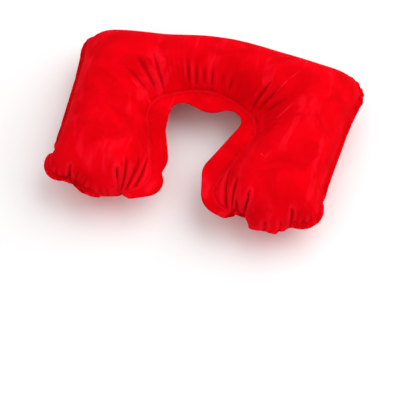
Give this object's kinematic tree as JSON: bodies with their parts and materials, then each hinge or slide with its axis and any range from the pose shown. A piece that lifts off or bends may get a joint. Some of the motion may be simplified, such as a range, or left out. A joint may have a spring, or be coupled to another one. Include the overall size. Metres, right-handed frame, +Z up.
{
  "type": "inflatable neck pillow",
  "caption": "Inflatable U-shaped travel neck pillow: two flocked vinyl sheets welded round an air chamber, flat web inside the U, push-in mouth valve with hinged plug underneath.",
  "frame": {"origin": "under the middle of the inflated pillow, on the plane it rests on", "axes": "+Z up, +X along the pillow's longest width, +Y from the open ends of the legs to the back of the U"},
  "size_m": [0.38, 0.276, 0.094],
  "materials": {
    "flocked_film": "velvety short flock on vinyl film",
    "soft_vinyl": "milky soft vinyl"
  },
  "bodies": {
    "cushion": {"upper_sheet": "flocked_film", "lower_sheet": "flocked_film", "valve_base": "soft_vinyl", "valve_membrane": "soft_vinyl"},
    "stem": {"valve_stem": "soft_vinyl", "plug_strap": "soft_vinyl"},
    "plug": {"valve_plug": "soft_vinyl"},
    "flap": {"check_flap": "soft_vinyl"}
  },
  "joints": [
    {"name": "stem_slide", "type": "slide", "parent": "cushion", "child": "stem", "axis": [0, 0, -1], "range_m": [0, 0.0115], "deforming": ["valve_membrane"]},
    {"name": "plug_hinge", "type": "hinge", "parent": "stem", "child": "plug", "pos_m": [-0.1042, 0.06, 0.00095], "axis": [0, -1, 0], "range_deg": [0, 120]},
    {"name": "flap_hinge", "type": "hinge", "parent": "stem", "child": "flap", "pos_m": [-0.1174, 0.06, 0.01385], "axis": [0, -1, 0], "range_deg": [0, 40], "stiffness_Nm_per_rad": 0.00001}
  ]
}
